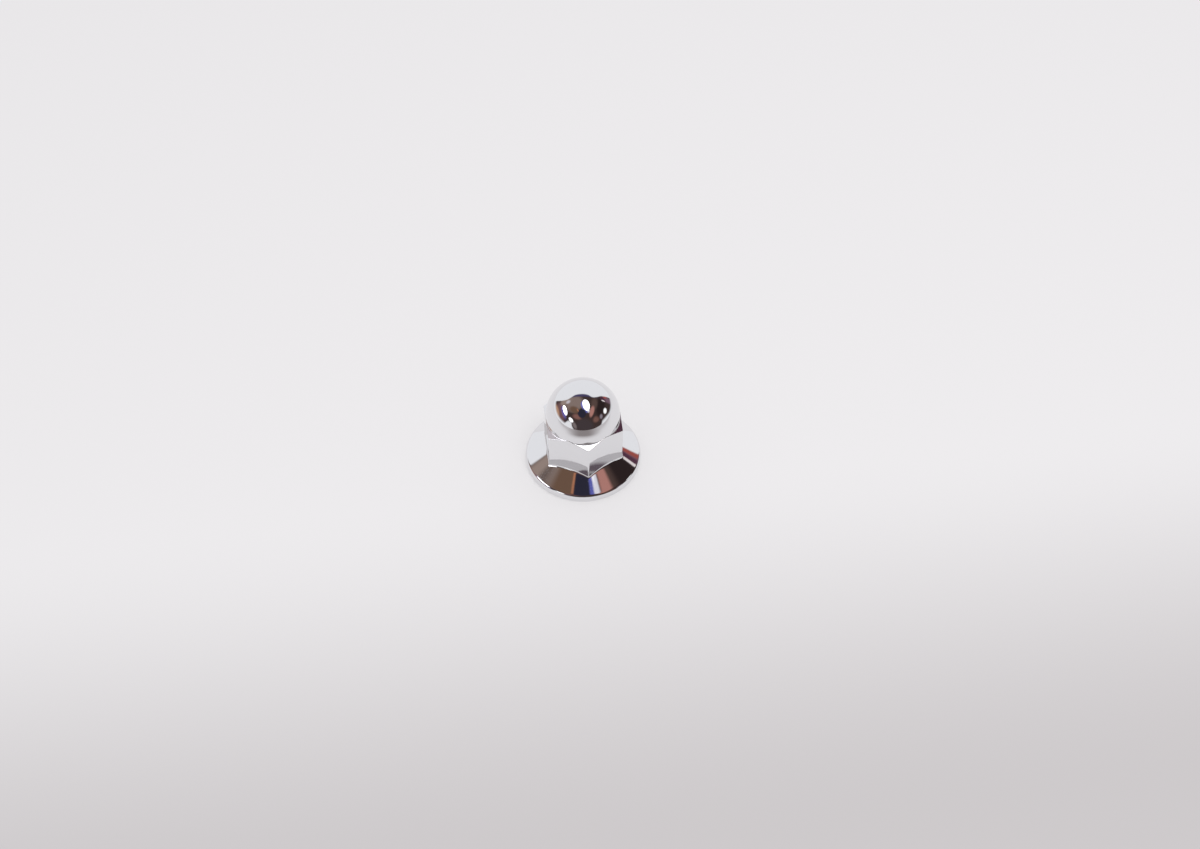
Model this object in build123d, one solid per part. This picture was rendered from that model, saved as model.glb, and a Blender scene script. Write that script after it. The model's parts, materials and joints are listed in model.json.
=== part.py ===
from build123d import *
from math import cos, radians, sin, sqrt, tan
import os

# Flanged cap nut for an M8 bolt, in millimetres.
# The origin is the centre of the bearing face, +Z runs up the axis through the dome,
# and one corner of the hexagon points along -Y.

# Wrench hexagon, with a slanted facet on each upper corner
across_flats = 13.0
corner_rounding = 0.25
corner_height = 10.45
facet_angle = 30.0

# Flange with a conical top
flange_radius = 10.3
flange_edge_height = 1.35
flange_slope = 34.0
rim_rounding = 0.8
foot_rounding = 0.3
root_rounding = 0.45

# Dome on a short cylinder
dome_radius = 6.45
dome_centre_height = 11.55

# Blind hole, drilled for an M8 thread of 1.25 mm pitch
bore_radius = 3.4
bore_depth = 13.0
drill_point_angle = 118.0
countersink_radius = 4.4
countersink_angle = 120.0

# Sizes that follow from the ones above
corner_radius = across_flats / sqrt(3)
dome_top = dome_centre_height + dome_radius
cone_top_radius = bore_radius + 1.0
cone_top_height = flange_edge_height + (flange_radius - cone_top_radius) * tan(radians(flange_slope))


def round_corner(section, radius, height, rounding):
    """Round the corner of a half section that lies at a radius and a height."""
    corner = section.vertices().sort_by_distance(Vector(radius, height))[0]
    return fillet(corner, rounding)


def turn(section):
    """Turn a half section, drawn as (radius, height), about the nut's axis."""
    return revolve(Plane.XZ * section, Axis.Z)


def make_flange():
    """Round flange: flat bearing face, short upright edge and conical top."""
    section = make_face(
        Polyline(
            (0, 0),
            (flange_radius, 0),
            (flange_radius, flange_edge_height),
            (cone_top_radius, cone_top_height),
            (0, cone_top_height),
            close=True,
        )
    )
    section = round_corner(section, flange_radius, flange_edge_height, rim_rounding)
    section = round_corner(section, flange_radius, 0, foot_rounding)
    return turn(section)


def make_hexagon():
    """Hexagonal prism whose upper corners are cut off by slanted planes."""
    profile = RegularPolygon(corner_radius, 6, rotation=30)
    profile = fillet(profile.vertices(), corner_rounding)
    hexagon = extrude(profile, dome_top)
    slant = radians(facet_angle)
    facet = Plane(origin=(0, -corner_radius, corner_height), z_dir=(0, -sin(slant), cos(slant)))
    for _ in range(6):
        hexagon = Rot(Z=60) * split(hexagon, bisect_by=facet, keep=Keep.BOTTOM)
    return hexagon


def make_dome():
    """Half ball on a cylinder of the same radius."""
    outline = Polyline((0, dome_top), (0, 0), (dome_radius, 0), (dome_radius, dome_centre_height))
    outline += CenterArc((0, dome_centre_height), dome_radius, start_angle=0, arc_size=90)
    return turn(make_face(outline))


def make_hole():
    """Blind hole: countersunk mouth, straight bore and the cone left by the drill."""
    mouth_depth = (countersink_radius - bore_radius) / tan(radians(countersink_angle / 2))
    point_depth = bore_radius / tan(radians(drill_point_angle / 2))
    section = make_face(
        Polyline(
            (0, 0),
            (countersink_radius, 0),
            (bore_radius, mouth_depth),
            (bore_radius, bore_depth),
            (0, bore_depth + point_depth),
            close=True,
        )
    )
    return turn(section)


def make_cap_nut():
    """The whole nut, with a small fillet where the hexagon grows out of the flange."""
    flange = make_flange()
    crown = make_hexagon() + make_dome()
    body = flange + crown
    body = fillet(new_edges(flange, crown, combined=body), root_rounding)
    return body - make_hole()


os.makedirs("parts", exist_ok=True)
cap_nut = make_cap_nut()
cap_nut.label = "cap_nut"
export_step(cap_nut, "parts/cap_nut.step")
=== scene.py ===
import json
from math import atan2, cos, hypot, pi, radians, sin, sqrt, tan

import bmesh
import bpy
from bpy.props import FloatProperty, FloatVectorProperty, IntProperty, PointerProperty
from mathutils import Matrix, Vector


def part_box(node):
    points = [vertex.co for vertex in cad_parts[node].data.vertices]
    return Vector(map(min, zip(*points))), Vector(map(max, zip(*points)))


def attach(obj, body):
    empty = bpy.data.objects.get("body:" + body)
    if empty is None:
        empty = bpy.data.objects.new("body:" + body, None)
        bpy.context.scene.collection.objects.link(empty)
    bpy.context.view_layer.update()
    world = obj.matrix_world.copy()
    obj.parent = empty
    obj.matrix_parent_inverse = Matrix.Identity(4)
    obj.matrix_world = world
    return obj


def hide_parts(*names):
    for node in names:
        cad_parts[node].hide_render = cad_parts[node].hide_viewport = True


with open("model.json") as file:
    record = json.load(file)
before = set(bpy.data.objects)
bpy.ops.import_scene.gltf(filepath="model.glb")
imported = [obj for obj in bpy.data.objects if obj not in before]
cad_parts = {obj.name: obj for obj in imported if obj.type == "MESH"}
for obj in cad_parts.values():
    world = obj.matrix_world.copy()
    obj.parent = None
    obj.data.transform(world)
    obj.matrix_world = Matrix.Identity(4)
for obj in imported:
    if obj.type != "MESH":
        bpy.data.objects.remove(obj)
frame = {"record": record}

bl_info = {
    "name": "Cap nut",
    "version": (1, 0, 0),
    "blender": (4, 5, 0),
    "location": "3D View > Sidebar > Cap nut",
    "description": "Models a chrome-plated flanged cap nut and the stage that it is shown on",
    "category": "Object",
}

# The nut stands on its flange, with its axis on Z and one corner of its hexagon along -Y
MM = 0.001
NODE = "cap_nut"
SOLID_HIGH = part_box(NODE)[1]
THREAD = next(mount for mount in frame["record"]["mounts"] if mount["name"] == "thread")
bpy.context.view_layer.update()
CORNER_TURN = radians(60)


def length(name, description, default):
    """A size in metres that shows in the scene's own units."""
    return FloatProperty(name=name, description=description, default=default, unit="LENGTH", precision=5)


def angle(name, description, degrees):
    """An angle, kept in radians and given here in degrees."""
    return FloatProperty(name=name, description=description, default=radians(degrees), subtype="ANGLE")


def level(name, description, default):
    """A plain number."""
    return FloatProperty(name=name, description=description, default=default, precision=4)


def colour(name, description, default):
    """A linear colour."""
    return FloatVectorProperty(name=name, description=description, default=default, subtype="COLOR", size=3)


class NutShape(bpy.types.PropertyGroup):
    """Sizes of the nut's outside"""

    flange_radius: length("Flange radius", "Reach of the flange from the axis", SOLID_HIGH.x)
    edge_height: length("Edge height", "Height at which the cone would meet the flange's edge", 1.35 * MM)
    flange_slope: angle("Flange slope", "Fall of the flange's conical top", 34)
    rim_rounding: length("Rim rounding", "Radius between the cone and the edge", 0.8 * MM)
    foot_rounding: length("Foot rounding", "Radius between the edge and the bearing face", 0.3 * MM)
    root_run: length("Root run", "Run of the hollow curve where the flats meet the cone", 0.24 * MM)
    across_flats: length("Across flats", "Width of the hexagon from flat to flat", 13 * MM)
    corner_rounding: length("Corner rounding", "Radius on the hexagon's upright corners", 0.25 * MM)
    corner_height: length("Corner height", "Height at which a facet would meet the sharp corner", 10.45 * MM)
    facet_angle: angle("Facet angle", "Fall of the facets on the hexagon's upper corners", 30)
    crest_run: length("Crest run", "Run of the curve between a facet and a flat", 0.06 * MM)
    dome_radius: length("Dome radius", "Radius of the round cap", 6.45 * MM)
    dome_top: length("Dome top", "Height of the whole nut", SOLID_HIGH.z)
    neck_run: length("Neck run", "Run of the hollow curve where the dome meets a facet", 0.14 * MM)


class NutHole(bpy.types.PropertyGroup):
    """Sizes of the blind threaded hole"""

    bore_radius: length("Bore radius", "Radius of the thread's crests and the drilled hole",
                        THREAD["dims"]["r_mm"] * MM)
    groove_radius: length("Groove radius", "Radius at the bottom of the thread's grooves", 4.0 * MM)
    pitch: length("Pitch", "Rise of the thread in one turn", 1.25 * MM)
    thread_end: length("Thread end", "Height at which the thread starts to run out", 10.8 * MM)
    run_out: length("Run-out", "Height over which the thread fades into the bore", 0.9 * MM)
    bore_depth: length("Bore depth", "Height at which the drill's cone begins", 13 * MM)
    point_angle: angle("Drill point", "Full angle of the cone at the end of the hole", 118)
    mouth_radius: length("Mouth radius", "Radius of the countersink at the bearing face", 4.4 * MM)
    mouth_angle: angle("Mouth angle", "Full angle of the countersink", 120)


class NutFinish(bpy.types.PropertyGroup):
    """Plating and bare metal"""

    columns: IntProperty(name="Columns", description="Upright rows of faces around the nut", default=240)
    chrome: colour("Chrome", "Colour that the plating mirrors with", (0.80, 0.80, 0.815))
    polish: level("Polish", "Roughness of the bright plating", 0.035)
    haze: level("Haze", "Roughness that fine handling marks add", 0.03)
    ripple: length("Ripple", "Depth of the slow waves in the plating", 0.004 * MM)
    steel: colour("Thread steel", "Colour of the thinly plated thread", (0.52, 0.51, 0.50))


class StageSettings(bpy.types.PropertyGroup):
    """Floor, light, surroundings and camera"""

    floor: colour("Floor", "Colour of the pale floor behind the nut", (0.84, 0.825, 0.84))
    # The next colour is painted shade: the floor is painted darker towards the camera, in place of a shadow
    # falling there.
    floor_front_shade: colour("Near floor", "Colour of the floor towards the camera", (0.60, 0.575, 0.585))
    floor_glow: level("Floor glow", "Share of the floor's brightness that no shadow takes away", 0.5)
    backdrop: colour("Backdrop", "What the camera sees beyond the floor", (0.93, 0.93, 0.955))
    fill: colour("Fill light", "Soft light from all sides", (0.80, 0.80, 0.80))
    # The next two colours are painted reflections: they glow on the surroundings, which only mirrors show.
    wall: colour("Wall", "White wall behind the nut, which the plating mirrors", (0.905, 0.91, 0.935))
    room: colour("Room", "Dark side that the plating mirrors", (0.056, 0.036, 0.033))
    # The next two colours are painted shade on a sheet in front of the nut that only mirrors show; the spots
    # show only in light that the cone passes on to the flats.
    shade: colour("Front shade", "Dim table that the plating mirrors in front of the nut", (0.29, 0.26, 0.26))
    spot: colour("Dark spots", "Spots on that table that the flats show", (0.15, 0.12, 0.14))
    tent_radius: length("Tent radius", "Distance of the surroundings", 600 * MM)
    focal_px: level("Focal length", "Lens, in pixels of the picture", 1250)
    distance: length("Distance", "From the camera to the plane through the nut's base", 225.15 * MM)
    elevation: angle("Elevation", "Height of the camera's view", 49.82)
    turn: angle("Turn", "How far the camera stands to the left of the hexagon's front corner", 8.2)
    roll: angle("Roll", "Lean of the camera", -0.4)


def arc(centre, radius, first, last, count):
    """Points spread evenly on an arc, from the first angle to the last."""
    turns = [first + (last - first) * step / (count - 1) for step in range(count)]
    return [(centre[0] + radius * cos(turn), centre[1] + radius * sin(turn)) for turn in turns]


def straight(start, end, shares):
    """Points on a straight run, at shares of its length."""
    run = end[0] - start[0]
    rise = end[1] - start[1]
    return [(start[0] + run * share, start[1] + rise * share) for share in shares]


def eased_corner(start, corner, end, count):
    """Points on the curve that leaves start towards the corner and comes into end from it."""
    points = []
    for step in range(count):
        share = step / (count - 1)
        first = (1 - share) ** 2
        middle = 2 * share * (1 - share)
        last = share ** 2
        points.append(tuple(first * a + middle * b + last * c for a, b, c in zip(start, corner, end)))
    return points


def off_corner(turn):
    """Turn from the nearest of the hexagon's corners."""
    return abs((turn + CORNER_TURN / 2) % CORNER_TURN - CORNER_TURN / 2)


def wall_distance(shape, turn):
    """Distance from the axis to the hexagon's side, at a turn around it."""
    off = off_corner(turn)
    inset = shape.corner_rounding / cos(CORNER_TURN / 2)
    centre = shape.across_flats / sqrt(3) - inset
    reach = centre + shape.corner_rounding * cos(CORNER_TURN / 2)
    if off < atan2(shape.corner_rounding * sin(CORNER_TURN / 2), reach):
        return centre * cos(off) + sqrt(shape.corner_rounding ** 2 - (centre * sin(off)) ** 2)
    return shape.across_flats / 2 / cos(CORNER_TURN / 2 - off)


def crown_rows(shape, turn):
    """Half section from the top of the dome, down its short cylinder and over a facet, to the wall."""
    wall = wall_distance(shape, turn)
    side = shape.dome_radius
    equator = shape.dome_top - side
    fall = cos(off_corner(turn)) * tan(shape.facet_angle)
    crest_height = shape.corner_height + shape.across_flats / sqrt(3) * tan(shape.facet_angle) - wall * fall
    crest = (wall, crest_height)
    neck = (side, min(crest_height + (wall - side) * fall, equator))
    ledge = hypot(crest[0] - neck[0], crest[1] - neck[1])
    neck_share = min(shape.neck_run / ledge, 0.45)
    crest_share = min(shape.crest_run / ledge, 0.45)

    dome = arc((0, equator), side, pi / 2, radians(4), 46)
    collar = (side, neck[1] + neck_share * ledge)
    ledge_start, ledge_end = straight(neck, crest, (neck_share, 1 - crest_share))
    below = (wall, crest_height - crest_share * ledge)
    rows = dome + straight((side * cos(radians(2)), equator + side * sin(radians(2))), collar, (0, 0.5))
    rows += eased_corner(collar, neck, ledge_start, 7)
    rows += straight(ledge_start, ledge_end, (0.04, 0.35, 0.65, 0.96))
    return rows + eased_corner(ledge_end, crest, below, 7)


def flange_rows(shape, turn, top):
    """Half section from the top of a flat, down the wall and the cone, to the bearing face."""
    wall = wall_distance(shape, turn)
    fall = shape.flange_slope
    root = shape.root_run
    rim = shape.rim_rounding
    foot = shape.foot_rounding
    edge = shape.flange_radius
    junction = (wall, shape.edge_height + (edge - wall) * tan(fall))
    root_top = (wall, junction[1] + root)
    root_end = (wall + root * cos(fall), junction[1] - root * sin(fall))
    rim_height = shape.edge_height - rim * (1 - sin(fall)) / cos(fall)
    rim_arc = arc((edge - rim, rim_height), rim, pi / 2 - fall, 0, 15)
    rows = straight((wall, top), root_top, (0.02, 0.25, 0.5, 0.75, 0.98))
    rows += eased_corner(root_top, junction, root_end, 9)
    rows += straight(root_end, rim_arc[0], (0.03, 0.2, 0.4, 0.6, 0.8, 0.97))
    return rows + rim_arc + arc((edge - foot, foot), foot, 0, -pi / 2, 7)


def bearing_rows(shape, hole):
    """Half section of the flat ring that the nut stands on, up to the countersink's lip."""
    start = (shape.flange_radius - shape.foot_rounding, 0)
    return straight(start, (hole.mouth_radius, 0), (0.03, 0.25, 0.5, 0.75, 0.97, 1))


def hole_rows(hole, turn):
    """Half section of the countersink, the thread and the drilled end, at a turn around the axis."""
    flare = tan(hole.mouth_angle / 2)
    row_height = hole.pitch / 26
    rows = []
    for step in range(1, int(round((hole.thread_end + hole.run_out) / row_height)) + 1):
        height = step * row_height
        groove = 0.5 + 0.5 * cos(2 * pi * height / hole.pitch - turn)
        fade = min(max((hole.thread_end + hole.run_out - height) / hole.run_out, 0), 1)
        thread = hole.bore_radius + (hole.groove_radius - hole.bore_radius) * groove * fade
        rows.append((max(thread, hole.mouth_radius - height * flare), height))
    tip = (0, hole.bore_depth + hole.bore_radius / tan(hole.point_angle / 2))
    shoulder = (hole.bore_radius, hole.bore_depth)
    rows += straight(rows[-1], shoulder, (0.3, 0.6, 0.97, 1))
    return rows + straight(shoulder, tip, (0.03, 0.3, 0.6, 0.9, 1))


def column_turn(column, columns):
    """Turn of an upright row of faces; they crowd towards the hexagon's corners."""
    per_half = columns // 12
    half, step = divmod(column, per_half)
    if half % 2 == 0:
        share = (step / per_half) ** 1.9 / 2
    else:
        share = 1 - ((per_half - step) / per_half) ** 1.9 / 2
    return (half // 2 + share) * CORNER_TURN


def turned_nut(shape, hole, columns):
    """The nut's mesh: one half section spun about the axis, then each column set to its own section.

    The faces' material numbers are 0 on the outside, 1 on the bearing face and 2 in the hole.
    """
    turns = [column_turn(column, columns) for column in range(columns)]
    sections = []
    for turn in turns:
        crown = crown_rows(shape, turn)
        outside = crown + flange_rows(shape, turn, crown[-1][1])
        bearing = bearing_rows(shape, hole)
        sections.append(outside + bearing + hole_rows(hole, turn))
    last_outside = len(outside) - 1
    last_bearing = last_outside + len(bearing)

    mesh = bmesh.new()
    row_of = mesh.verts.layers.int.new("row")
    profile = []
    for row, (radius, height) in enumerate(sections[0]):
        vert = mesh.verts.new((0, -radius, height))
        vert[row_of] = row
        profile.append(vert)
    edges = [mesh.edges.new(pair) for pair in zip(profile, profile[1:])]
    bmesh.ops.spin(mesh, geom=profile + edges, cent=(0, 0, 0), axis=(0, 0, 1), dvec=(0, 0, 0),
                   angle=2 * pi, steps=columns, use_merge=True)

    for face in mesh.faces:
        first_row = min(vert[row_of] for vert in face.verts)
        face.material_index = (first_row >= last_outside) + (first_row >= last_bearing)
        face.smooth = True
    for vert in mesh.verts:
        column = round((atan2(vert.co.x, -vert.co.y) / (2 * pi) % 1) * columns) % columns
        radius, height = sections[column][vert[row_of]]
        vert.co = (radius * sin(turns[column]), -radius * cos(turns[column]), height)
    mesh.verts.layers.int.remove(row_of)
    bmesh.ops.remove_doubles(mesh, verts=mesh.verts, dist=0.0001 * MM)
    bmesh.ops.recalc_face_normals(mesh, faces=mesh.faces)
    return mesh


def new_piece(name, mesh):
    """An object made from a finished bmesh."""
    data = bpy.data.meshes.new(name)
    mesh.to_mesh(data)
    mesh.free()
    piece = bpy.data.objects.new(name, data)
    bpy.context.scene.collection.objects.link(piece)
    return piece


def new_material(name):
    """A node material: its tree, its main shader and Object coordinates."""
    material = bpy.data.materials.new(name)
    material.use_nodes = True
    tree = material.node_tree
    place = tree.nodes.new("ShaderNodeTexCoord").outputs["Object"]
    return material, tree, tree.nodes["Principled BSDF"], place


def noise(tree, place, grain, detail):
    """Noise whose grain is a size in metres."""
    node = tree.nodes.new("ShaderNodeTexNoise")
    node.inputs["Scale"].default_value = 1 / grain
    node.inputs["Detail"].default_value = detail
    tree.links.new(place, node.inputs["Vector"])
    return node.outputs["Fac"]


def spread(tree, value, low, high, kind="LINEAR", source=(0.3, 0.7)):
    """A value taken from its source range to another range."""
    node = tree.nodes.new("ShaderNodeMapRange")
    node.interpolation_type = kind
    node.inputs["From Min"].default_value, node.inputs["From Max"].default_value = source
    node.inputs["To Min"].default_value = low
    node.inputs["To Max"].default_value = high
    tree.links.new(value, node.inputs["Value"])
    return node.outputs["Result"]


def bump(tree, shader, height, depth):
    """Relief of a depth in metres on a shader."""
    node = tree.nodes.new("ShaderNodeBump")
    node.inputs["Distance"].default_value = depth
    tree.links.new(height, node.inputs["Height"])
    tree.links.new(node.outputs["Normal"], shader.inputs["Normal"])


def bright_chrome(finish):
    """Mirror plating with slow waves and a trace of handling haze."""
    material, tree, shader, place = new_material("bright_chrome")
    shader.inputs["Base Color"].default_value = (*finish.chrome, 1)
    shader.inputs["Metallic"].default_value = 1
    marks = noise(tree, place, 0.5 * MM, 4)
    roughness = spread(tree, marks, finish.polish, finish.polish + finish.haze)
    tree.links.new(roughness, shader.inputs["Roughness"])
    bump(tree, shader, noise(tree, place, 2.2 * MM, 1), finish.ripple)
    return material


def turned_chrome(finish):
    """Plating over the lathe's rings on the bearing face."""
    material, tree, shader, place = new_material("turned_chrome")
    shader.inputs["Base Color"].default_value = (*finish.chrome, 1)
    shader.inputs["Metallic"].default_value = 1
    rings = tree.nodes.new("ShaderNodeTexWave")
    rings.wave_type = "RINGS"
    rings.rings_direction = "Z"
    rings.inputs["Scale"].default_value = 1 / (0.9 * MM)
    rings.inputs["Distortion"].default_value = 1.5
    tree.links.new(place, rings.inputs["Vector"])
    tree.links.new(spread(tree, rings.outputs["Fac"], 0.16, 0.28), shader.inputs["Roughness"])
    bump(tree, shader, rings.outputs["Fac"], 0.004 * MM)
    return material


def thread_steel(finish):
    """Thread that the plating hardly reached: darker towards the end of the hole, and duller than the plating
    all through.
    """
    material, tree, shader, place = new_material("thread_steel")
    shader.inputs["Metallic"].default_value = 1
    height = tree.nodes.new("ShaderNodeSeparateXYZ")
    tree.links.new(place, height.inputs["Vector"])
    shade = tree.nodes.new("ShaderNodeMix")
    shade.data_type = "RGBA"
    shade.inputs["A"].default_value = (*finish.chrome, 1)
    shade.inputs["B"].default_value = (*finish.steel, 1)
    reach = spread(tree, height.outputs["Z"], 0, 1, "SMOOTHSTEP", (0, 5 * MM))
    tree.links.new(reach, shade.inputs["Factor"])
    tree.links.new(shade.outputs["Result"], shader.inputs["Base Color"])
    marks = noise(tree, place, 0.3 * MM, 5)
    tree.links.new(spread(tree, marks, 0.22, 0.42), shader.inputs["Roughness"])
    bump(tree, shader, marks, 0.006 * MM)
    return material


class CAPNUT_OT_nut(bpy.types.Operator):
    """Model the plated cap nut with its threaded hole"""

    bl_idname = "capnut.nut"
    bl_label = "Model the cap nut"

    def execute(self, context):
        scene = context.scene
        finish = scene.nut_finish
        mesh = turned_nut(scene.nut_shape, scene.nut_hole, finish.columns)
        open_edges = [edge for edge in mesh.edges if not edge.is_manifold]
        if open_edges:
            raise RuntimeError(f"the nut's surface has {len(open_edges)} open edges")
        nut = new_piece("plated_cap_nut", mesh)
        nut.data.set_sharp_from_angle(angle=radians(38))
        for material in (bright_chrome(finish), turned_chrome(finish), thread_steel(finish)):
            nut.data.materials.append(material)
        evened = nut.modifiers.new("even_shading", "WEIGHTED_NORMAL")
        evened.keep_sharp = True
        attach(nut, "root")
        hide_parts(NODE)
        return {"FINISHED"}


# The surroundings that the plating mirrors are painted reflections on a glowing dome that only mirrors show,
# laid out on a map centred on the zenith: an angle from the zenith, in degrees, is the distance from the
# map's middle, and the camera stands towards the map's front. The names say what each painted patch was taken
# to be.
# Each patch: right, front, half width, half depth, spin, softness of the edge, colour
ROOM_PATCHES = (
    ("taupe_ceiling", -24, 5, 25, 25, 0, 0.3, (0.26, 0.195, 0.17)),
    ("left_wall", -25, 24, 9, 17, 56, 0.4, (0.165, 0.098, 0.066)),
    ("far_left_wall", -50, -12, 17, 11, 0, 0.5, (0.34, 0.26, 0.225)),
    ("pale_panel", -41, -6, 6, 5, 0, 0.5, (0.62, 0.58, 0.61)),
    ("far_shade", 0, -20, 32, 5, 0, 0.5, (0.07, 0.06, 0.14)),
    ("left_corner", -71, 10, 9, 34, 0, 0.4, (0.19, 0.10, 0.105)),
    ("tan_shelf", -82, -8, 7, 28, 0, 0.4, (0.52, 0.30, 0.19)),
    ("violet_fringe", -61, 18, 6, 20, 4, 0.5, (0.17, 0.14, 0.42)),
    ("front_wall", 8, 72, 34, 19, 0, 0.4, (0.062, 0.047, 0.05)),
    ("front_gap", -31, 71, 6, 12, 24, 0.5, (0.22, 0.18, 0.18)),
    ("front_beam", -19, 46, 7, 14, 65, 0.5, (0.25, 0.12, 0.10)),
    ("right_front_wall", 48, 46, 8, 12, -45, 0.5, (0.20, 0.10, 0.08)),
    ("right_dark_wall", 53, 3, 13, 32, 0, 0.4, (0.028, 0.018, 0.018)),
    ("right_brown_wall", 33, 2, 9, 18, 0, 0.5, (0.11, 0.07, 0.06)),
    ("right_gap", 63, 30, 5, 7, 0, 0.5, (0.28, 0.24, 0.28)),
    ("salmon_wall", 29, 28, 6.5, 17, -8, 0.35, (0.48, 0.225, 0.19)),
    ("navy_gap", -2, 37, 13, 14, 0, 0.18, (0.027, 0.026, 0.044)),
    ("orange_edge", -15, 27, 1.5, 5, 27, 0.5, (0.47, 0.2, 0.11)),
    ("blue_fringe", 5, 12.5, 10, 14, 16, 0.18, (0.2, 0.2, 0.58)),
    ("tail_fringe", 12, 29, 3.8, 6, 20, 0.4, (0.12, 0.13, 0.45)),
    ("lamp_tail", 17, 26.5, 4, 7, 20, 0.4, (0.8, 0.78, 0.86)),
    ("purple_curtain", 69, -38, 9, 20, -50, 0.5, (0.2, 0.12, 0.16)),
    ("dark_curtain", 54, -27, 9, 6, 0, 0.5, (0.09, 0.035, 0.06)),
    ("red_curtain", 57.5, -39, 4.5, 6.5, -35, 0.5, (0.36, 0.085, 0.07)),
    ("curtain_gap", 56.5, -21.7, 5.5, 2.2, 20, 0.4, (0.86, 0.78, 0.77)),
)

# Bright lamps painted on the same map: painted highlights, which only mirrors show and which light nothing
LAMP_PATCHES = (
    ("ceiling_lamp", 10, 11.5, 9.8, 17, 16, 0.08, (2.6, 2.6, 2.6)),
    ("left_lamp", -55, 14.5, 5.4, 16.5, 5, 0.1, (4.5, 4.5, 4.7)),
    ("front_lamp", -41, 51, 4.4, 10, 35, 0.2, (2, 2, 2)),
    ("right_lamp", 70.5, 5, 5.5, 9, 0, 0.35, (1.3, 1.3, 1.3)),
)

# Where the dark room ends on the map: its far edge as (right, front),
# and its lower edge as (azimuth to the right of the camera, angle from the zenith)
FAR_EDGE = ((-90, -58), (-74, -40), (-63, -26), (-52, -18), (-42, -15), (-30, -18), (-20, -22.5), (0, -23.5),
            (13, -22), (25, -17.5), (37, -23), (46, -32), (57, -41), (75, -60), (90, -75))
LOWER_EDGE = ((-180, 80), (-120, 83), (-70, 84), (-56, 84), (-46, 72), (-38, 70), (-30, 84), (-12, 98),
              (22, 98), (40, 92), (54, 90), (64, 82), (79, 83), (95, 86), (180, 88))

# The sheet of painted shade on the floor in front of the nut, which only mirrors show: the distances between
# which it fades in, the azimuth of its middle, and the angles off that middle between which it fades out
SHEET_NEAR, SHEET_FULL = 22 * MM, 46 * MM
SHEET_MIDDLE = 3
SHEET_SIDES = (8, 52)

# What the sheet shows only to light that the cone passes on to the flats, as painted shade in that second
# reflection: a share of it all over, and two darker painted spots, each as X, Y, half width, half depth, spin
# and softness of the edge
SHEET_TWICE = 0.4
SHEET_SPOTS = (
    (-10.5 * MM, -34.5 * MM, 6 * MM, 14 * MM, 20, 0.12),
    (51 * MM, -43 * MM, 14 * MM, 45 * MM, -50, 0.2),
)


def facing(stage, azimuth, elevation):
    """Axes of something that faces the nut: across, up, and outward from the nut."""
    turn = radians(azimuth) - stage.turn
    rise = radians(elevation)
    outward = Vector((cos(rise) * sin(turn), -cos(rise) * cos(turn), sin(rise)))
    across = Vector((cos(turn), sin(turn), 0))
    return Matrix((across, outward.cross(across), outward)).transposed()


def maths(tree, operation, first, second=None):
    """One step of arithmetic on values; a second value may be a plain number."""
    node = tree.nodes.new("ShaderNodeMath")
    node.operation = operation
    tree.links.new(first, node.inputs[0])
    if isinstance(second, (int, float)):
        node.inputs[1].default_value = second
    elif second:
        tree.links.new(second, node.inputs[1])
    return node.outputs["Value"]


def blend(tree, share, under, over):
    """One colour laid over another by a share; each is a plain colour or an output of a node."""
    mix = tree.nodes.new("ShaderNodeMix")
    mix.data_type = "RGBA"
    for name, tone in (("A", under), ("B", over)):
        if isinstance(tone, bpy.types.NodeSocket):
            tree.links.new(tone, mix.inputs[name])
        else:
            mix.inputs[name].default_value = (*tone, 1)
    tree.links.new(share, mix.inputs["Factor"])
    return mix.outputs["Result"]


def map_place(tree, place):
    """Place on the surroundings' map, in degrees, with the angle from the zenith and the azimuth."""
    direction = tree.nodes.new("ShaderNodeVectorMath")
    direction.operation = "NORMALIZE"
    tree.links.new(place, direction.inputs[0])
    axes = tree.nodes.new("ShaderNodeSeparateXYZ")
    tree.links.new(direction.outputs["Vector"], axes.inputs["Vector"])
    forward = maths(tree, "MULTIPLY", axes.outputs["Y"], -1)
    zenith = maths(tree, "MULTIPLY", maths(tree, "ARCCOSINE", axes.outputs["Z"]), 180 / pi)
    azimuth = maths(tree, "ARCTAN2", axes.outputs["X"], forward)
    spot = tree.nodes.new("ShaderNodeCombineXYZ")
    tree.links.new(maths(tree, "MULTIPLY", maths(tree, "SINE", azimuth), zenith), spot.inputs["X"])
    tree.links.new(maths(tree, "MULTIPLY", maths(tree, "COSINE", azimuth), zenith), spot.inputs["Y"])
    return spot.outputs["Vector"], zenith, maths(tree, "MULTIPLY", azimuth, 180 / pi)


def patch_share(tree, spot, right, front, width, depth, spin, softness):
    """How much of a soft-edged patch lies at a place on the map."""
    mapping = tree.nodes.new("ShaderNodeMapping")
    mapping.vector_type = "TEXTURE"
    mapping.inputs["Location"].default_value = (right, front, 0)
    mapping.inputs["Rotation"].default_value = (0, 0, -radians(spin))
    mapping.inputs["Scale"].default_value = (width, depth, 1)
    tree.links.new(spot, mapping.inputs["Vector"])
    distance = tree.nodes.new("ShaderNodeVectorMath")
    distance.operation = "LENGTH"
    tree.links.new(mapping.outputs["Vector"], distance.inputs[0])
    return spread(tree, distance.outputs["Value"], 1, 0, "SMOOTHSTEP", (1 - softness, 1 + softness))


def edge_curve(tree, value, points):
    """A smooth curve through a few points, both ways in degrees between -180 and 180."""
    node = tree.nodes.new("ShaderNodeFloatCurve")
    curve = node.mapping.curves[0]
    while len(curve.points) < len(points):
        curve.points.new(0.5, 0.5)
    for point, (along, across) in zip(curve.points, points):
        point.location = (along / 360 + 0.5, across / 360 + 0.5)
        point.handle_type = "AUTO_CLAMPED"
    node.mapping.update()
    tree.links.new(spread(tree, value, 0, 1, source=(-180, 180)), node.inputs["Value"])
    return spread(tree, node.outputs["Value"], -180, 180, source=(0, 1))


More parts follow.
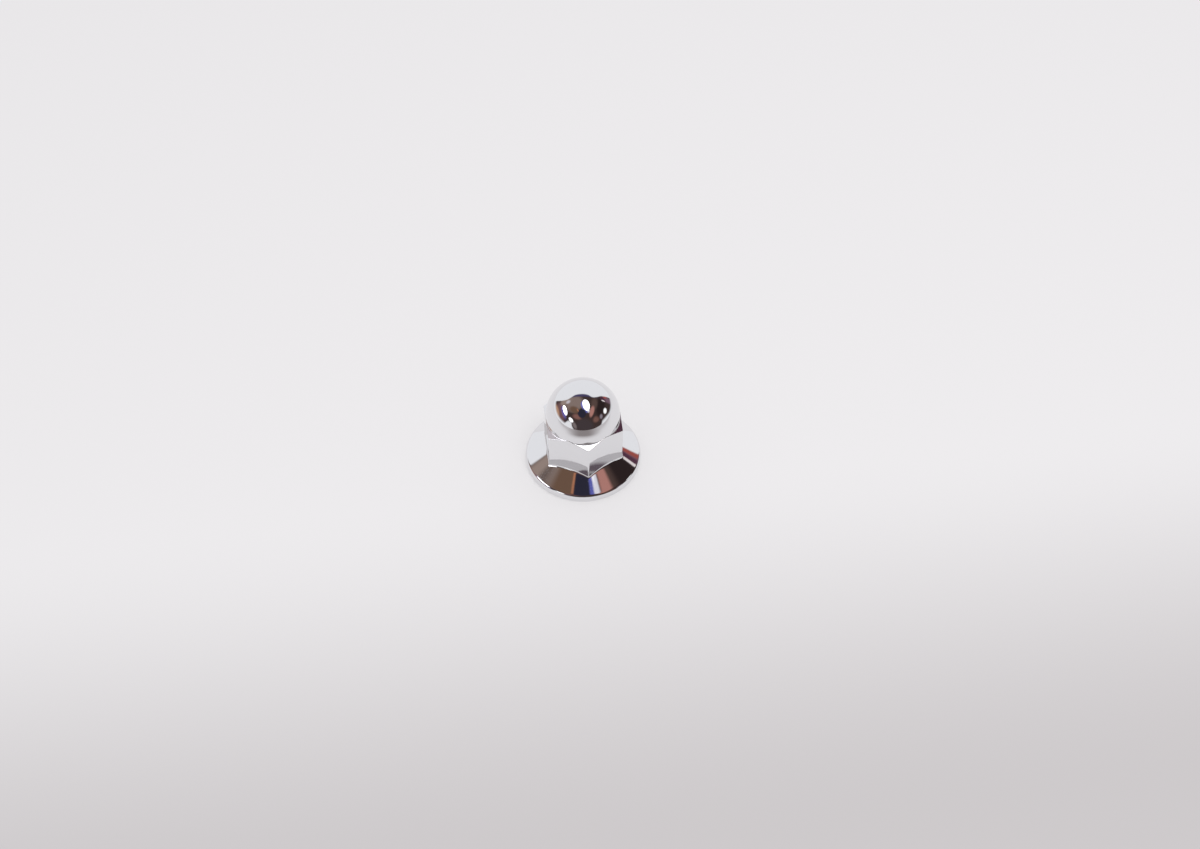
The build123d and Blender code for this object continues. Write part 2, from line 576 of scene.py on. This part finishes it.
def room_finish(stage):
    """Painted reflections that glow: white wall behind, dark room with coloured walls and lamps in front, out
    of focus.
    """
    material, tree, shader, place = new_material("surroundings")
    tree.nodes.remove(shader)
    spot, zenith, azimuth = map_place(tree, place)
    axes = tree.nodes.new("ShaderNodeSeparateXYZ")
    tree.links.new(spot, axes.inputs["Vector"])
    paint = stage.room
    for _, *shape, tone in ROOM_PATCHES:
        paint = blend(tree, patch_share(tree, spot, *shape), paint, tone)
    behind = maths(tree, "SUBTRACT", axes.outputs["Y"], edge_curve(tree, axes.outputs["X"], FAR_EDGE))
    above = maths(tree, "SUBTRACT", edge_curve(tree, azimuth, LOWER_EDGE), zenith)
    inside = maths(tree, "MULTIPLY", spread(tree, behind, 0, 1, "SMOOTHSTEP", (-2, 2)),
                   spread(tree, above, 0, 1, "SMOOTHSTEP", (-4, 4)))
    paint = blend(tree, inside, stage.wall, paint)
    for _, *shape, tone in LAMP_PATCHES:
        paint = blend(tree, patch_share(tree, spot, *shape), paint, tone)
    glow = tree.nodes.new("ShaderNodeEmission")
    tree.links.new(paint, glow.inputs["Color"])
    tree.links.new(glow.outputs["Emission"], tree.nodes["Material Output"].inputs["Surface"])
    return material


def add_mirrored(stage, name, mesh, material):
    """A part of the surroundings that turns with the camera, and that only mirrors show."""
    thing = new_piece(name, mesh)
    thing.data.materials.append(material)
    thing.rotation_euler = (0, 0, -stage.turn)
    thing.visible_camera = False
    thing.visible_diffuse = False
    thing.visible_shadow = False


def add_room(stage):
    """Half a ball around the nut, painted with the room."""
    mesh = bmesh.new()
    bmesh.ops.create_uvsphere(mesh, u_segments=96, v_segments=48, radius=stage.tent_radius)
    bmesh.ops.bisect_plane(mesh, geom=mesh.verts[:] + mesh.edges[:] + mesh.faces[:],
                           plane_co=(0, 0, 0), plane_no=(0, 0, -1), clear_outer=True)
    add_mirrored(stage, "surroundings", mesh, room_finish(stage))


def shade_finish(stage):
    """Dim painted shade on a sheet in front of the nut, with darker painted spots that only the flats catch,
    by way of the cone.
    """
    material, tree, shader, place = new_material("front_shade")
    tree.nodes.remove(shader)
    azimuth = map_place(tree, place)[2]
    away = tree.nodes.new("ShaderNodeVectorMath")
    away.operation = "LENGTH"
    tree.links.new(place, away.inputs[0])
    off_middle = maths(tree, "ABSOLUTE", maths(tree, "SUBTRACT", azimuth, SHEET_MIDDLE))
    # Painted shade on the sheet: it fades in away from the nut and out to the sides.
    painted_shade = maths(tree, "MULTIPLY",
                  spread(tree, away.outputs["Value"], 0, 1, "SMOOTHSTEP", (SHEET_NEAR, SHEET_FULL)),
                  spread(tree, off_middle, 1, 0, "SMOOTHSTEP", SHEET_SIDES))
    light_path = tree.nodes.new("ShaderNodeLightPath")
    twice = maths(tree, "GREATER_THAN", light_path.outputs["Glossy Depth"], 1.5)
    # Darker painted spots and an even share of painted shade, seen only in light that the cone passes on to
    # the flats.
    left, right = (patch_share(tree, place, *shape) for shape in SHEET_SPOTS)
    spots = maths(tree, "MULTIPLY", maths(tree, "MAXIMUM", left, right), twice)
    near = maths(tree, "MULTIPLY", twice, SHEET_TWICE)
    clear = tree.nodes.new("ShaderNodeBsdfTransparent")
    glow = tree.nodes.new("ShaderNodeEmission")
    tree.links.new(blend(tree, spots, stage.shade, stage.spot), glow.inputs["Color"])
    mix = tree.nodes.new("ShaderNodeMixShader")
    share = maths(tree, "MAXIMUM", maths(tree, "MAXIMUM", painted_shade, near), spots)
    tree.links.new(share, mix.inputs["Fac"])
    tree.links.new(clear.outputs["BSDF"], mix.inputs[1])
    tree.links.new(glow.outputs["Emission"], mix.inputs[2])
    tree.links.new(mix.outputs["Shader"], tree.nodes["Material Output"].inputs["Surface"])
    return material


def add_shade(stage):
    """A sheet of painted shade on the floor, which only mirrors show, in front of the nut."""
    mesh = bmesh.new()
    bmesh.ops.create_grid(mesh, x_segments=1, y_segments=1, size=stage.tent_radius)
    add_mirrored(stage, "front_shade", mesh, shade_finish(stage))


def floor_finish(stage):
    """Pale paper, painted a little darker towards the camera as shade in place of a shadow falling there;
    part of its brightness is its own.
    """
    material, tree, shader, place = new_material("pale_paper")
    shader.inputs["Roughness"].default_value = 0.9
    shader.inputs["Specular IOR Level"].default_value = 0.0
    axes = tree.nodes.new("ShaderNodeSeparateXYZ")
    tree.links.new(place, axes.inputs["Vector"])
    # Painted shade: the floor turns darker towards the camera, standing in for a shadow that falls there.
    floor_shade_share = spread(tree, axes.outputs["Y"], 0, 1, "SMOOTHSTEP", (-6 * MM, -74 * MM))
    tone = blend(tree, floor_shade_share, stage.floor, stage.floor_front_shade)
    tree.links.new(tone, shader.inputs["Emission Color"])
    shader.inputs["Emission Strength"].default_value = stage.floor_glow
    lit = tree.nodes.new("ShaderNodeVectorMath")
    lit.operation = "SCALE"
    lit.inputs["Scale"].default_value = 1 - stage.floor_glow
    tree.links.new(tone, lit.inputs[0])
    tree.links.new(lit.outputs["Vector"], shader.inputs["Base Color"])
    return material


def add_floor(stage):
    """The floor that the nut stands on."""
    mesh = bmesh.new()
    bmesh.ops.create_grid(mesh, x_segments=1, y_segments=1, size=2)
    bmesh.ops.translate(mesh, verts=mesh.verts, vec=(0, 0, -0.01 * MM))
    floor = new_piece("floor", mesh)
    floor.data.materials.append(floor_finish(stage))


def add_lamp(stage):
    """A soft lamp overhead, which lights the floor and leaves the mirrored lamps to the painted room."""
    light = bpy.data.lights.new("soft_lamp", "AREA")
    light.shape = "DISK"
    light.size = 0.5 * stage.tent_radius
    light.energy = 0.2 * pi * 4 * stage.tent_radius ** 2
    lamp = bpy.data.objects.new("soft_lamp", light)
    axes = facing(stage, 40, 70)
    lamp.matrix_world = Matrix.Translation(axes.col[2] * stage.tent_radius) @ axes.to_4x4()
    lamp.visible_camera = False
    lamp.visible_glossy = False
    bpy.context.scene.collection.objects.link(lamp)


def add_world(stage):
    """Pale backdrop for the eye and the plating, and a plain fill light for everything else."""
    world = bpy.data.worlds.new("studio")
    bpy.context.scene.world = world
    world.use_nodes = True
    tree = world.node_tree
    path = tree.nodes.new("ShaderNodeLightPath")
    seen = path.outputs["Is Camera Ray"]
    for ray in ("Is Glossy Ray", "Is Transmission Ray"):
        total = tree.nodes.new("ShaderNodeMath")
        total.use_clamp = True
        tree.links.new(seen, total.inputs[0])
        tree.links.new(path.outputs[ray], total.inputs[1])
        seen = total.outputs["Value"]
    mix = tree.nodes.new("ShaderNodeMix")
    mix.data_type = "RGBA"
    mix.inputs["A"].default_value = (*stage.fill, 1)
    mix.inputs["B"].default_value = (*stage.backdrop, 1)
    tree.links.new(seen, mix.inputs["Factor"])
    tree.links.new(mix.outputs["Result"], tree.nodes["Background"].inputs["Color"])


# The picture's frame, and the point in it where the centre of the nut's base lies, in pixels
FRAME_WIDTH_PX = 1200
FRAME_HEIGHT_PX = 849
BASE_X_PX = 583.25
BASE_Y_PX = 456.06


def add_camera(stage):
    """The camera, placed so that the nut's base falls on its point of the picture."""
    data = bpy.data.cameras.new("camera")
    data.sensor_fit = "HORIZONTAL"
    data.sensor_width = 36
    data.lens = stage.focal_px * data.sensor_width / FRAME_WIDTH_PX
    data.clip_start = 0.01
    camera = bpy.data.objects.new("camera", data)
    axes = facing(stage, 0, stage.elevation * 180 / pi) @ Matrix.Rotation(-stage.roll, 3, "Z")
    metre_per_px = stage.distance / stage.focal_px
    right = (BASE_X_PX - FRAME_WIDTH_PX / 2) * metre_per_px
    down = (BASE_Y_PX - FRAME_HEIGHT_PX / 2) * metre_per_px
    camera.matrix_world = Matrix.Translation(axes @ Vector((-right, down, stage.distance))) @ axes.to_4x4()
    bpy.context.scene.collection.objects.link(camera)
    bpy.context.scene.camera = camera


class CAPNUT_OT_stage(bpy.types.Operator):
    """Set up the floor, the lamps, the surroundings and the camera"""

    bl_idname = "capnut.stage"
    bl_label = "Set up the stage"

    def execute(self, context):
        stage = context.scene.nut_stage
        add_floor(stage)
        add_room(stage)
        add_shade(stage)
        add_world(stage)
        add_lamp(stage)
        add_camera(stage)
        context.scene.view_settings.view_transform = "Standard"
        return {"FINISHED"}


class CAPNUT_PT_panel(bpy.types.Panel):
    """Sizes, finish and stage of the cap nut"""

    bl_idname = "CAPNUT_PT_panel"
    bl_label = "Cap nut"
    bl_space_type = "VIEW_3D"
    bl_region_type = "UI"
    bl_category = "Cap nut"

    def draw(self, context):
        for group, operator in (
            (context.scene.nut_shape, None),
            (context.scene.nut_hole, None),
            (context.scene.nut_finish, CAPNUT_OT_nut),
            (context.scene.nut_stage, CAPNUT_OT_stage),
        ):
            box = self.layout.box()
            for name in type(group).__annotations__:
                box.prop(group, name)
            if operator:
                box.operator(operator.bl_idname)


SETTINGS = {"nut_shape": NutShape, "nut_hole": NutHole, "nut_finish": NutFinish, "nut_stage": StageSettings}
CLASSES = (*SETTINGS.values(), CAPNUT_OT_nut, CAPNUT_OT_stage, CAPNUT_PT_panel)


def register():
    for kind in CLASSES:
        bpy.utils.register_class(kind)
    for name, kind in SETTINGS.items():
        setattr(bpy.types.Scene, name, PointerProperty(type=kind))


def unregister():
    for name in SETTINGS:
        delattr(bpy.types.Scene, name)
    for kind in reversed(CLASSES):
        bpy.utils.unregister_class(kind)


def main():
    register()
    bpy.ops.capnut.nut()
    bpy.ops.capnut.stage()


if __name__ == "__main__":
    main()
